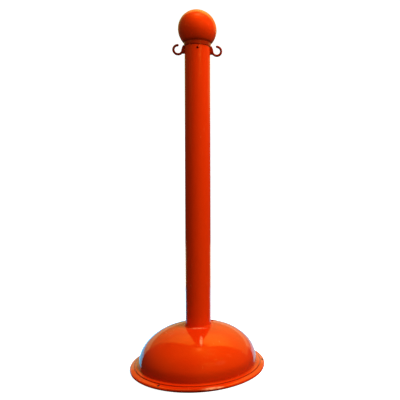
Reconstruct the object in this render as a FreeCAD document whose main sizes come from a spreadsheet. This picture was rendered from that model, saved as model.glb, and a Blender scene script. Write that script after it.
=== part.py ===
"""Ball-top chain stanchion: a ballasted dome base, a tubular post, a lift-off ball cap and two C-hooks.

Millimetres. The origin is on the post's axis at floor level, and +Z runs up the post.
The hooks lie on +X and -X.
"""

import FreeCAD, Part
import math
import os
import re
import Sketcher

# Driving dimensions: alias, value (millimetres, degrees or a count) and what it is.
SIZES = {
    "total_height": (1070, "floor to the top of the ball"),
    "ball_radius": (57.5, "outside of the ball"),
    "ball_wall": (2.5, "wall of the ball and its spigot"),
    "neck_radius": (40.2, "short neck between the tube and the ball"),
    "neck_edge": (1.2, "rounding of the neck's lower edge"),
    "neck_fillet": (3, "hollow curve where the neck meets the ball"),
    "spigot_length": (46, "part of the cap that stands inside the tube"),
    "slot_half_width": (4.8, "half the width of the slots that pass the hook pegs"),
    "slot_below_neck": (6, "solid ring left between the neck and the slots"),
    "tube_radius": (38.1, "outside of the post tube"),
    "tube_wall": (3, "wall of the post tube"),
    "tube_top": (960, "height of the tube's upper end"),
    "tube_edge": (0.8, "chamfer on the tube's upper edge"),
    "hook_height": (949.5, "height of the four hook holes"),
    "hook_hole_radius": (3.5, "radius of each hook hole"),
    "fit_gap": (0.3, "clearance between pieces that come apart"),
    "seat_gap": (0.1, "clearance between pieces that stay together"),
    "ring_centre": (57.5, "distance of the C's centre from the post's axis"),
    "ring_rise": (1.5, "height of the C's centre above the peg's axis"),
    "ring_radius": (13.4, "middle of the C's rod"),
    "rod_radius": (3.6, "half the thickness of the C's rod"),
    "ring_sweep": (264, "angle that the C runs through"),
    "tip_radius": (3.9, "rounded bead on the C's free end"),
    "saddle_root": (36, "plane that the saddle is built out from"),
    "saddle_face": (47.5, "outer face of the hook's saddle, from the post's axis"),
    "saddle_top_face": (42.6, "the same face at the saddle's top, where it leans in"),
    "saddle_lean": (2, "height above the peg's axis where the face starts to lean in"),
    "saddle_half_width": (6.5, "half the width of the saddle"),
    "saddle_above": (16, "saddle above the peg's axis"),
    "saddle_below": (10, "saddle below the peg's axis"),
    "saddle_edge": (1.2, "rounding of the saddle's outer edge"),
    "peg_radius": (3.2, "radius of the hook's peg"),
    "peg_end": (25.5, "peg's inner end, from the post's axis"),
    "peg_root": (42, "where the peg is buried in the saddle"),
    "peg_nose": (0.8, "chamfer on the peg's inner end"),
    "slit_half_width": (0.7, "half the slit that lets the peg's two halves spring"),
    "slit_end": (34.5, "where the slit stops, from the post's axis"),
    "foot_radius": (176, "dome where it meets the flange"),
    "shoulder_radius": (90.5, "lower, tighter arc of the dome's outline"),
    "shoulder_angle": (45.3, "angle that the lower arc runs through"),
    "crown_radius": (154, "upper, flatter arc of the dome's outline"),
    "bead_half": (1.6, "half the width of the raised lip round the post"),
    "bead_height": (1.6, "straight part of that lip above the crown"),
    "base_wall": (3, "wall of the dome, its socket and the pan"),
    "socket_bottom": (17, "underside of the socket's floor"),
    "socket_floor": (4, "thickness of the socket's floor"),
    "flange_top": (15, "upper face of the flange at the dome's foot"),
    "flange_fall": (0.4, "fall of the inner band from the foot to the step"),
    "step_radius": (187, "radius of the step in the flange"),
    "groove_width": (1.5, "width of the groove at the foot of the step"),
    "groove_bottom": (11.9, "height of the groove's floor"),
    "band_top": (13, "outer band beside the groove"),
    "rim_radius": (201.5, "outside of the flange"),
    "rim_half": (4.3, "radius of the rolled rim"),
    "rim_centre": (6.3, "height of the rolled rim's centre"),
    "rib_count": (12, "ribs under the dome's crown"),
    "rib_half": (1.2, "half the thickness of each rib"),
    "rib_outer": (70, "outer end of each rib, from the axis"),
    "rib_depth": (30, "depth of each rib at the socket"),
    "pan_bottom": (3, "underside of the base pan"),
    "pan_edge": (197, "outside of the base pan"),
    "pan_rim_inner": (186, "inside of the pan's thicker rim"),
    "pan_rim_top": (8, "top of the pan's thicker rim"),
    "well_radius": (19, "recess for the bolt's head"),
    "fill_radius": (20, "hole that the ballast is poured through"),
    "fill_offset": (110, "distance of the fill hole from the axis"),
    "fill_boss": (31, "outside of the boss round the fill hole"),
    "fill_boss_top": (15, "top of that boss"),
    "fill_recess": (27.5, "recess for the fill plug's head"),
    "fill_seat": (6.5, "face that the plug's seal bears on"),
    "plug_head": (27, "radius of the fill plug's head"),
    "plug_bottom": (1.5, "underside of the fill plug"),
    "plug_seat": (5, "face of the plug that carries the seal"),
    "plug_top": (14, "upper end of the fill plug"),
    "plug_wall": (2.5, "wall of the fill plug"),
    "grip_half": (3, "half the width of the finger bar across the plug's recess"),
    "seal_outer": (26.5, "outside of the plug's seal"),
    "ballast_top": (36, "level of the sand fill"),
    "ballast_gap": (0.4, "gap between the fill and the walls round it"),
    "pad_inner": (184, "inside of the rubber floor ring"),
    "pad_outer": (195, "outside of the rubber floor ring"),
    "pad_edge": (1, "bevel on the floor ring's lower edges"),
    "key_inner": (188, "inside of the ring's key"),
    "key_outer": (192, "outside of the ring's key"),
    "key_height": (2.2, "how far the key stands up into the pan"),
    "screw_circle": (194, "radius that the flange screws stand on"),
    "screw_angle": (-3, "angle of the first flange screw from +X"),
    "screw_count": (3, "flange screws"),
    "screw_seat": (10.9, "flat that a screw's head bears on"),
    "screw_seat_radius": (3.5, "radius of that flat"),
    "screw_head_radius": (3.1, "head of a flange screw"),
    "screw_head_height": (1.9, "height of a screw's domed head"),
    "screw_head_side": (0.7, "straight side of a screw's head"),
    "screw_radius": (1.5, "shank of a flange screw"),
    "screw_length": (7.4, "shank of a flange screw under its head"),
    "screw_point": (1.6, "pointed end of the shank"),
    "screw_hole": (1.6, "pilot hole for a screw"),
    "cross_half": (0.45, "half the width of the cross recess in a screw's head"),
    "cross_reach": (1.8, "half the length of that cross"),
    "cross_floor": (0.8, "floor of the cross above the head's seat"),
    "plug_foot_height": (30, "plug inside the tube's lower end"),
    "plug_foot_hub": (14, "radius of that plug's hub"),
    "plug_foot_hub_height": (22, "height of that hub"),
    "plug_foot_wall": (4, "outer wall of that plug"),
    "plug_foot_web": (8, "thickness of the web between hub and wall"),
    "plug_foot_rib_half": (2, "half the thickness of that plug's ribs"),
    "plug_foot_ribs": (6, "ribs between hub and wall"),
    "hex_flats": (17, "across the flats of the nut and the bolt's head"),
    "nut_height": (8, "height of the nut"),
    "nut_bore": (5.1, "radius of the nut's thread, cut plain"),
    "bolt_radius": (5, "M10 bolt's shank"),
    "bolt_hole": (5.4, "radius of the holes for the bolt"),
    "bolt_length": (45, "shank of the bolt under its head"),
    "bolt_head": (6.4, "height of the bolt's head"),
    "bolt_point": (1, "chamfer on the bolt's end"),
    "washer_outer": (15, "outside of the flat washer"),
    "washer_height": (2, "thickness of the flat washer"),
    "spring_outer": (9, "outside of the spring washer"),
    "spring_height": (2.4, "thickness of the spring washer"),
    "spring_split": (1, "half the gap in the spring washer"),
}

# Lengths that follow from the driving dimensions, as expressions in the sheet's names.
BALL_Z = "(total_height - ball_radius)"
BALL_INNER = "(ball_radius - ball_wall)"
SPIGOT_OUTER = "(tube_radius - tube_wall - fit_gap)"
SPIGOT_INNER = "(tube_radius - tube_wall - fit_gap - ball_wall)"
FILLET_X = "(neck_radius + neck_fillet)"
FILLET_DROP = f"sqrt((ball_radius + neck_fillet)^2 - {FILLET_X}^2)"
FILLET_SHARE = "(ball_radius / (ball_radius + neck_fillet))"
SHOULDER_X = "(foot_radius - shoulder_radius)"
CROWN_X = f"({SHOULDER_X} - (crown_radius - shoulder_radius) * cos(shoulder_angle))"
CROWN_Z = "(flange_top - (crown_radius - shoulder_radius) * sin(shoulder_angle))"
SOCKET_INNER = "(tube_radius + fit_gap)"
SOCKET_OUTER = "(tube_radius + fit_gap + base_wall)"
BEAD_OUTER = "(tube_radius + fit_gap + 2 * bead_half)"
BEAD_TOP = f"({CROWN_Z} + crown_radius + bead_height)"
TUBE_BOTTOM = "(socket_bottom + socket_floor)"
FLOOR_UNDER_WELL = "(socket_bottom - base_wall)"
BOLT_SEAT = f"({FLOOR_UNDER_WELL} - washer_height - spring_height)"
HUB_TOP = f"({TUBE_BOTTOM} + plug_foot_hub_height)"

FULL_TURN = 360
QUARTER_TURN = 90
OVERRUN = 5  # how far a cut runs past the solid it opens
END_LEAN = 0.5  # least share of the X axis in the normal of a face that counts as an end

doc = FreeCAD.newDocument("stanchion")


# ---------------------------------------------------------------- the sheet and its expressions


def fill_sheet():
    """Puts each driving dimension in a cell, between its name and its meaning."""
    sheet = doc.addObject("Spreadsheet::Sheet", "Sizes")
    for row, (alias, (size, meaning)) in enumerate(SIZES.items(), start=1):
        sheet.set(f"A{row}", alias)
        sheet.set(f"B{row}", str(size))
        sheet.set(f"C{row}", meaning)
        sheet.setAlias(f"B{row}", alias)
    doc.recompute()


def bound(expression):
    """An expression in the sheet's names, made to point at the sheet's cells."""
    return re.sub(
        r"[a-z]\w*",
        lambda word: "Sizes." + word[0] if word[0] in SIZES else word[0],
        str(expression),
    )


def worth(expression):
    """What an expression in the sheet's names comes to."""
    return float(doc.Sizes.evalExpression(bound(expression)))


def bind(thing, cells):
    """Binds properties of a document object to expressions in the sheet's names."""
    for name, expression in cells.items():
        thing.setExpression(name, bound(expression))


# ---------------------------------------------------------------- sketches


def new_body(label):
    body = doc.addObject("PartDesign::Body", label)
    body.Label = label
    return body


def origin_feature(body, role):
    return next(item for item in body.Origin.OriginFeatures if item.Role == role)


def sketch_on(body, role, name, lift="0"):
    """An empty sketch on one of the body's own origin planes, moved along the plane's normal."""
    sketch = body.newObject("Sketcher::SketchObject", name)
    sketch.AttachmentSupport = [(origin_feature(body, role), "")]
    sketch.MapMode = "FlatFace"
    bind(sketch, {"AttachmentOffset.Base.z": lift})
    return sketch


def constrain(sketch, name, expression, *terms):
    """Adds a constraint whose value is bound to the sheet."""
    index = sketch.addConstraint(Sketcher.Constraint(*terms, worth(expression)))
    sketch.renameConstraint(index, name)
    sketch.setExpression(f"Constraints.{name}", bound(expression))


def pin_point(sketch, geometry, point, x, y, tag):
    """Holds a point of the sketch at its two distances from the sketch's origin."""
    constrain(sketch, f"x{tag}", x, "DistanceX", -1, 1, geometry, point)
    constrain(sketch, f"y{tag}", y, "DistanceY", -1, 1, geometry, point)


def arc_between(start, end, radius, turn):
    """The arc of up to half a circle from start to end, which turns left or right on its way."""
    chord = end - start
    to_left = FreeCAD.Vector(-chord.y, chord.x, 0).normalize()
    rise = radius - math.sqrt(max(radius**2 - (chord.Length / 2) ** 2, 0))
    bulge = to_left * (-rise if turn == "left" else rise)
    middle = (start + end) * 0.5 + bulge
    return Part.Arc(start, middle, end) if turn == "left" else Part.Arc(end, middle, start)


def outline(sketch, corners):
    """A closed outline. A corner is (x, y), or (x, y, radius, turn) where an arc leads on from it."""
    tag = sketch.GeometryCount
    points = [FreeCAD.Vector(worth(corner[0]), worth(corner[1]), 0) for corner in corners]
    ends = []
    for number, corner in enumerate(corners):
        start = points[number]
        end = points[(number + 1) % len(points)]
        if len(corner) == 2:
            edge = sketch.addGeometry(Part.LineSegment(start, end), False)
            ends.append((edge, 1, 2))
            continue
        radius, turn = corner[2:]
        edge = sketch.addGeometry(arc_between(start, end, worth(radius), turn), False)
        ends.append((edge, 1, 2) if turn == "left" else (edge, 2, 1))
        constrain(sketch, f"r{tag}_{number}", radius, "Radius", edge)
    for number, corner in enumerate(corners):
        edge, first, last = ends[number]
        next_edge, next_first, _ = ends[(number + 1) % len(ends)]
        sketch.addConstraint(Sketcher.Constraint("Coincident", edge, last, next_edge, next_first))
        pin_point(sketch, edge, first, corner[0], corner[1], f"{tag}_{number}")


def circle(sketch, x, y, radius):
    tag = sketch.GeometryCount
    centre = FreeCAD.Vector(worth(x), worth(y), 0)
    edge = sketch.addGeometry(Part.Circle(centre, FreeCAD.Vector(0, 0, 1), worth(radius)), False)
    constrain(sketch, f"r{tag}", radius, "Radius", edge)
    pin_point(sketch, edge, 3, x, y, tag)


def rectangle(sketch, low_x, low_y, high_x, high_y):
    outline(sketch, [(low_x, low_y), (high_x, low_y), (high_x, high_y), (low_x, high_y)])


def upright_axis(sketch, x):
    """A construction line parallel to the sketch's vertical axis, to turn an outline about."""
    tag = sketch.GeometryCount
    foot = FreeCAD.Vector(worth(x), 0, 0)
    edge = sketch.addGeometry(Part.LineSegment(foot, foot + FreeCAD.Vector(0, 1, 0)), True)
    sketch.addConstraint(Sketcher.Constraint("Vertical", edge))
    constrain(sketch, f"l{tag}", "1", "Distance", edge)
    pin_point(sketch, edge, 1, x, "0", tag)


def hexagon(sketch, flats):
    """A hexagon about the sketch's origin, with two corners on its vertical axis."""
    half = f"({flats} / 2)"
    side = f"({flats} / 2 * tan(30))"
    corner = f"({flats} / 2 / cos(30))"
    outline(
        sketch,
        [
            (half, f"-{side}"),
            (half, side),
            ("0", corner),
            (f"-{half}", side),
            (f"-{half}", f"-{side}"),
            ("0", f"-{corner}"),
        ],
    )


# ---------------------------------------------------------------- features


def turned(body, name, corners, kind="PartDesign::Revolution"):
    """Turns an outline of (radius, height) corners about the body's Z axis."""
    sketch = sketch_on(body, "XZ_Plane", f"{name}_outline")
    outline(sketch, corners)
    turn = body.newObject(kind, name)
    turn.Profile = (sketch, [""])
    turn.ReferenceAxis = (sketch, ["V_Axis"])
    turn.Angle = FULL_TURN
    return turn


def padded(body, name, sketch, length, both_ways=False):
    pad = body.newObject("PartDesign::Pad", name)
    pad.Profile = (sketch, [""])
    pad.Midplane = both_ways
    bind(pad, {"Length": length})
    return pad


def pocketed(body, name, sketch, length=None, upward=False):
    """Cuts a sketch's outline out of the body: right through both ways, or to a depth one way."""
    before = solid_of(body).Volume
    pocket = body.newObject("PartDesign::Pocket", name)
    pocket.Profile = (sketch, [""])
    if length is None:
        pocket.Type = "ThroughAll"
        pocket.Midplane = True
    else:
        pocket.Reversed = upward
        bind(pocket, {"Length": length})
    must_shrink(body, before, name)
    return pocket


def solid_of(body):
    doc.recompute()
    return body.Shape


def must_shrink(body, before, name):
    if solid_of(body).Volume >= before:
        raise RuntimeError(f"{body.Label}: {name} cut nothing")


def repeated(body, name, features, count, angle=FULL_TURN):
    """Repeats features round the body's Z axis."""
    pattern = body.newObject("PartDesign::PolarPattern", name)
    pattern.Originals = features
    pattern.Axis = (origin_feature(body, "Z_Axis"), [""])
    pattern.Angle = angle
    bind(pattern, {"Occurrences": count})
    body.Tip = pattern
    return pattern


def end_edges(shape, way):
    """Names of the edges round the flat end that looks out (way 1) or in (way -1) along the X axis."""
    ends = [
        face
        for face in shape.Faces
        if face.Surface.TypeId == "Part::GeomPlane" and way * face.normalAt(0, 0).x > END_LEAN
    ]
    sides = [side for face in ends for side in face.Edges]
    return [
        f"Edge{number}"
        for number, edge in enumerate(shape.Edges, start=1)
        if sum(edge.isSame(side) for side in sides) == 1
    ]


def dress_end(body, name, feature, way, kind, size_name, size):
    """Rounds or chamfers the edges round the end that looks out (way 1) or in (way -1) along X."""
    edges = end_edges(solid_of(body), way)
    dressing = body.newObject(f"PartDesign::{kind}", name)
    dressing.Base = (feature, edges)
    bind(dressing, {size_name: size})
    return dressing


def place(body, x="0", y="0", z="0", turn="0"):
    bind(
        body,
        {
            "Placement.Base.x": x,
            "Placement.Base.y": y,
            "Placement.Base.z": z,
            "Placement.Rotation.Angle": turn,
        },
    )
    body.Placement.Rotation.Axis = FreeCAD.Vector(0, 0, 1)


# ---------------------------------------------------------------- the base


def crown_at(radius, inset="0"):
    """Height of the dome's upper arc at a distance from the axis, inset from the outside."""
    return f"({CROWN_Z} + sqrt((crown_radius - {inset})^2 - ({radius} - {CROWN_X})^2))"


def dome_join(inset="0"):
    """Where the dome's two arcs meet, on a surface inset from the outside."""
    return (
        f"({SHOULDER_X} + (shoulder_radius - {inset}) * cos(shoulder_angle))",
        f"(flange_top + (shoulder_radius - {inset}) * sin(shoulder_angle))",
    )


def make_base_dome():
    """Moulded dome with a stepped flange, a rolled rim and the deep socket that the post stands in."""
    body = new_body("base_dome")
    rim_inner = "(rim_radius - rim_half)"
    step_z = "(flange_top - flange_fall)"
    groove_outer = "(step_radius + groove_width)"
    under_band = "(pan_rim_top + seat_gap)"
    band_inner = "(pan_rim_inner - 1)"
    under_flange = "(flange_top - base_wall)"
    wall_foot = "(foot_radius - base_wall)"
    corners = [
        ("bolt_hole", TUBE_BOTTOM),
        (SOCKET_INNER, TUBE_BOTTOM),
        (SOCKET_INNER, BEAD_TOP, "bead_half", "right"),
        (f"({SOCKET_INNER} + bead_half)", f"({BEAD_TOP} + bead_half)", "bead_half", "right"),
        (BEAD_OUTER, BEAD_TOP),
        (BEAD_OUTER, crown_at(BEAD_OUTER), "crown_radius", "right"),
        (*dome_join(), "shoulder_radius", "right"),
        ("foot_radius", "flange_top"),
        ("step_radius", step_z),
        ("step_radius", "groove_bottom"),
        (groove_outer, "groove_bottom"),
        (groove_outer, "band_top"),
        (rim_inner, "(rim_centre + rim_half)", "rim_half", "right"),
        ("rim_radius", "rim_centre", "rim_half", "right"),
        (rim_inner, "(rim_centre - rim_half)"),
        (rim_inner, under_band),
        (band_inner, under_band),
        (band_inner, under_flange),
        (wall_foot, under_flange),
        (wall_foot, "flange_top", "(shoulder_radius - base_wall)", "left"),
        (*dome_join("base_wall"), "(crown_radius - base_wall)", "left"),
        (SOCKET_OUTER, crown_at(SOCKET_OUTER, "base_wall")),
        (SOCKET_OUTER, "socket_bottom"),
        ("bolt_hole", "socket_bottom"),
    ]
    turned(body, "shell", corners)

    rib_sketch = sketch_on(body, "XZ_Plane", "rib_outline")
    rib_inner = f"({SOCKET_OUTER} - 1)"
    half_wall = "(base_wall / 2)"
    outline(
        rib_sketch,
        [
            (rib_inner, f"({CROWN_Z} + crown_radius - rib_depth)"),
            ("rib_outer", crown_at("rib_outer", "base_wall")),
            ("rib_outer", crown_at("rib_outer", half_wall)),
            (rib_inner, crown_at(rib_inner, half_wall)),
        ],
    )
    rib = padded(body, "rib", rib_sketch, "2 * rib_half", both_ways=True)
    repeated(body, "ribs", [rib], "rib_count")

    seat_sketch = sketch_on(body, "XY_Plane", "screw_seat_outline", "screw_seat")
    seat_x = "(screw_circle * cos(screw_angle))"
    seat_y = "(screw_circle * sin(screw_angle))"
    circle(seat_sketch, seat_x, seat_y, "screw_seat_radius")
    seat = pocketed(body, "screw_seat", seat_sketch, "band_top", upward=True)
    hole_sketch = sketch_on(body, "XY_Plane", "screw_hole_outline")
    circle(hole_sketch, seat_x, seat_y, "screw_hole")
    hole = pocketed(body, "screw_hole", hole_sketch)
    repeated(body, "screw_places", [seat, hole], "screw_count")


def make_base_pan():
    """Flat pan under the dome, with a well for the bolt and a boss round the fill hole."""
    body = new_body("base_pan")
    pan_top = "(pan_bottom + base_wall)"
    well_outer = "(well_radius + base_wall)"
    key_low = "(key_inner - seat_gap)"
    key_high = "(key_outer + seat_gap)"
    key_top = "(pan_bottom + key_height + seat_gap)"
    corners = [
        ("bolt_hole", "socket_bottom"),
        (well_outer, "socket_bottom"),
        (well_outer, pan_top),
        ("pan_rim_inner", pan_top),
        ("pan_rim_inner", "pan_rim_top"),
        ("pan_edge", "pan_rim_top"),
        ("pan_edge", "pan_bottom"),
        (key_high, "pan_bottom"),
        (key_high, key_top),
        (key_low, key_top),
        (key_low, "pan_bottom"),
        ("well_radius", "pan_bottom"),
        ("well_radius", FLOOR_UNDER_WELL),
        ("bolt_hole", FLOOR_UNDER_WELL),
    ]
    turned(body, "plate", corners)

    boss_sketch = sketch_on(body, "XY_Plane", "fill_boss_outline", "pan_bottom")
    circle(boss_sketch, "0", "fill_offset", "fill_boss")
    padded(body, "fill_boss", boss_sketch, "fill_boss_top - pan_bottom")
    recess_sketch = sketch_on(body, "XY_Plane", "fill_recess_outline", "pan_bottom")
    circle(recess_sketch, "0", "fill_offset", "fill_recess")
    pocketed(body, "fill_recess", recess_sketch, "fill_seat - pan_bottom", upward=True)
    fill_sketch = sketch_on(body, "XY_Plane", "fill_hole_outline")
    circle(fill_sketch, "0", "fill_offset", "fill_radius")
    pocketed(body, "fill_hole", fill_sketch)

    pilot_sketch = sketch_on(body, "XY_Plane", "pilot_outline")
    pilot_x = "(screw_circle * cos(screw_angle))"
    pilot_y = "(screw_circle * sin(screw_angle))"
    circle(pilot_sketch, pilot_x, pilot_y, "screw_hole")
    pilot = pocketed(body, "pilot", pilot_sketch)
    repeated(body, "pilots", [pilot], "screw_count")


def make_ballast():
    """Sand that lies in the base round the socket, with a hollow over the fill boss."""
    body = new_body("sand_ballast")
    outer = "(foot_radius - base_wall - ballast_gap)"
    inner = f"({SOCKET_OUTER} + ballast_gap)"
    bottom = "(pan_bottom + base_wall + ballast_gap)"
    arc = "(shoulder_radius - base_wall - ballast_gap)"
    top_radius = f"({SHOULDER_X} + sqrt({arc}^2 - (ballast_top - flange_top)^2))"
    corners = [
        (inner, bottom),
        (outer, bottom),
        (outer, "flange_top", arc, "left"),
        (top_radius, "ballast_top"),
        (inner, "ballast_top"),
    ]
    turned(body, "fill", corners)
    sketch = sketch_on(body, "XY_Plane", "boss_hollow_outline")
    circle(sketch, "0", "fill_offset", "(fill_boss + ballast_gap)")
    pocketed(body, "boss_hollow", sketch, "fill_boss_top + ballast_gap", upward=True)


def make_floor_ring():
    """Rubber ring that the stanchion stands on, keyed into the pan."""
    body = new_body("floor_ring")
    key_top = "(pan_bottom + key_height)"
    corners = [
        ("pad_inner", "pad_edge"),
        ("(pad_inner + pad_edge)", "0"),
        ("(pad_outer - pad_edge)", "0"),
        ("pad_outer", "pad_edge"),
        ("pad_outer", "pan_bottom"),
        ("key_outer", "pan_bottom"),
        ("key_outer", key_top),
        ("key_inner", key_top),
        ("key_inner", "pan_bottom"),
        ("pad_inner", "pan_bottom"),
    ]
    turned(body, "ring", corners)


def make_fill_plug():
    """Push-in plug with a finger bar across the recess in its underside."""
    body = new_body("fill_plug")
    shank = "(fill_radius - fit_gap)"
    bore = "(fill_radius - fit_gap - plug_wall)"
    roof = "(plug_top - plug_wall)"
    corners = [
        (bore, "plug_bottom"),
        ("plug_head", "plug_bottom"),
        ("plug_head", "plug_seat"),
        (shank, "plug_seat"),
        (shank, "plug_top"),
        ("0", "plug_top"),
        ("0", roof),
        (bore, roof),
    ]
    turned(body, "cup", corners)
    sketch = sketch_on(body, "XY_Plane", "grip_outline", "plug_bottom")
    rectangle(sketch, f"-({bore} + 1)", "-grip_half", f"({bore} + 1)", "grip_half")
    padded(body, "grip", sketch, "plug_top - plug_wall / 2 - plug_bottom")
    place(body, y="fill_offset")


def make_fill_seal():
    body = new_body("fill_seal")
    inner = "(fill_radius - fit_gap + seat_gap)"
    corners = [
        (inner, "plug_seat"),
        ("seal_outer", "plug_seat"),
        ("seal_outer", "fill_seat"),
        (inner, "fill_seat"),
    ]
    turned(body, "seal", corners)
    place(body, y="fill_offset")


def make_flange_screws():
    """Three small tapping screws that hold the pan to the dome's outer band."""
    body = new_body("flange_screws")
    sketch = sketch_on(body, "XZ_Plane", "screw_outline")
    shank = "(screw_circle + screw_radius)"
    head = "(screw_circle + screw_head_radius)"
    crown_rise = "(screw_head_height - screw_head_side)"
    crown_arc = f"((screw_head_radius^2 + {crown_rise}^2) / (2 * {crown_rise}))"
    upright_axis(sketch, "screw_circle")
    outline(
        sketch,
        [
            ("screw_circle", "(screw_seat - screw_length)"),
            (shank, "(screw_seat - screw_length + screw_point)"),
            (shank, "screw_seat"),
            (head, "screw_seat"),
            (head, "(screw_seat + screw_head_side)", crown_arc, "left"),
            ("screw_circle", "(screw_seat + screw_head_height)"),
        ],
    )
    screw = body.newObject("PartDesign::Revolution", "screw")
    screw.Profile = (sketch, [""])
    screw.ReferenceAxis = (sketch, ["Axis0"])
    screw.Angle = FULL_TURN
    features = [screw]
    arms = {"along": ("cross_reach", "cross_half"), "across": ("cross_half", "cross_reach")}
    for name, (half_x, half_y) in arms.items():
        cross = sketch_on(body, "XY_Plane", f"cross_{name}_outline", "(screw_seat + cross_floor)")
        low_x, high_x = f"(screw_circle - {half_x})", f"(screw_circle + {half_x})"
        rectangle(cross, low_x, f"-{half_y}", high_x, half_y)
        features.append(pocketed(body, f"cross_{name}", cross, "screw_head_height", upward=True))
    repeated(body, "screws", features, "screw_count")
    place(body, turn="screw_angle")


# ---------------------------------------------------------------- the post and its fastening


def make_post_tube():
    """Extruded tube with four hook holes near its upper end."""
    body = new_body("post_tube")
    bore = "(tube_radius - tube_wall)"
    corners = [
        (bore, TUBE_BOTTOM),
        ("tube_radius", TUBE_BOTTOM),
        ("tube_radius", "(tube_top - tube_edge)"),
        ("(tube_radius - tube_edge)", "tube_top"),
        (bore, "tube_top"),
    ]
    turned(body, "tube", corners)
    sketch = sketch_on(body, "XZ_Plane", "hook_hole_outline")
    circle(sketch, "0", "hook_height", "hook_hole_radius")
    holes = pocketed(body, "hook_holes", sketch)
    repeated(body, "hook_hole_pairs", [holes], "2", QUARTER_TURN)


def make_foot_plug():
    """Ribbed plug that closes the tube's lower end and takes the bolt's pull."""
    body = new_body("foot_plug")
    outer = "(tube_radius - tube_wall - seat_gap)"
    wall_inner = "(tube_radius - tube_wall - seat_gap - plug_foot_wall)"
    wall_top = f"({TUBE_BOTTOM} + plug_foot_height)"
    web_top = f"({TUBE_BOTTOM} + plug_foot_web)"
    corners = [
        ("bolt_hole", TUBE_BOTTOM),
        (outer, TUBE_BOTTOM),
        (outer, wall_top),
        (wall_inner, wall_top),
        (wall_inner, web_top),
        ("plug_foot_hub", web_top),
        ("plug_foot_hub", HUB_TOP),
        ("bolt_hole", HUB_TOP),
    ]
    turned(body, "cup", corners)
    sketch = sketch_on(body, "XZ_Plane", "rib_outline")
    rectangle(sketch, "(plug_foot_hub - 1)", f"({web_top} - 1)", f"({wall_inner} + 1)", HUB_TOP)
    rib = padded(body, "rib", sketch, "2 * plug_foot_rib_half", both_ways=True)
    repeated(body, "ribs", [rib], "plug_foot_ribs")


def bevel_hexagon(body, name, bottom, top):
    """Turns the corners of a hexagonal head or nut down to a cone at its upper and lower ends."""
    corner = "(hex_flats / 2 / cos(30))"
    outside = f"({corner} + {OVERRUN})"
    fall = f"({OVERRUN} * tan(30))"
    turn_in = "(hex_flats / 2)"
    reach = f"({corner} - hex_flats / 2)"
    drop = f"({reach} * tan(30))"
    before = solid_of(body).Volume
    for end, level, way in (("upper", top, "-"), ("lower", bottom, "+")):
        other = "+" if way == "-" else "-"
        corners = [
            (turn_in, level),
            (corner, f"({level} {way} {drop})"),
            (outside, f"({level} {way} {drop} {way} {fall})"),
            (outside, f"({level} {other} {OVERRUN})"),
            (turn_in, f"({level} {other} {OVERRUN})"),
        ]
        turned(body, f"{name}_{end}", corners, kind="PartDesign::Groove")
    must_shrink(body, before, name)


def make_foot_nut():
    body = new_body("foot_nut")
    sketch = sketch_on(body, "XY_Plane", "nut_outline", HUB_TOP)
    hexagon(sketch, "hex_flats")
    circle(sketch, "0", "0", "nut_bore")
    padded(body, "nut", sketch, "nut_height")
    bevel_hexagon(body, "bevel", HUB_TOP, f"({HUB_TOP} + nut_height)")


def make_foot_bolt():
    """Hexagon bolt from below, through the pan, the socket's floor and the plug in the tube."""
    body = new_body("foot_bolt")
    head_bottom = f"({BOLT_SEAT} - bolt_head)"
    sketch = sketch_on(body, "XY_Plane", "head_outline", head_bottom)
    hexagon(sketch, "hex_flats")
    padded(body, "head", sketch, "bolt_head")
    bevel_hexagon(body, "bevel", head_bottom, BOLT_SEAT)
    shank_top = f"({BOLT_SEAT} + bolt_length)"
    corners = [
        ("0", f"({BOLT_SEAT} - 1)"),
        ("bolt_radius", f"({BOLT_SEAT} - 1)"),
        ("bolt_radius", f"({shank_top} - bolt_point)"),
        ("(bolt_radius - bolt_point)", shank_top),
        ("0", shank_top),
    ]
    turned(body, "shank", corners)


def make_washers():
    """Flat washer against the pan's well, and the spring washer between it and the bolt's head."""
    flat = new_body("flat_washer")
    flat_bottom = f"({FLOOR_UNDER_WELL} - washer_height)"
    turned(
        flat,
        "washer",
        [
            ("bolt_hole", flat_bottom),
            ("washer_outer", flat_bottom),
            ("washer_outer", FLOOR_UNDER_WELL),
            ("bolt_hole", FLOOR_UNDER_WELL),
        ],
    )
    spring = new_body("spring_washer")
    turned(
        spring,
        "washer",
        [
            ("bolt_hole", BOLT_SEAT),
            ("spring_outer", BOLT_SEAT),
            ("spring_outer", flat_bottom),
            ("bolt_hole", flat_bottom),
        ],
    )
    sketch = sketch_on(spring, "XY_Plane", "split_outline")
    rectangle(sketch, "0", "-spring_split", "(spring_outer + 1)", "spring_split")
    pocketed(spring, "split", sketch, flat_bottom, upward=True)


# ---------------------------------------------------------------- the ball cap and the hooks


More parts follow.
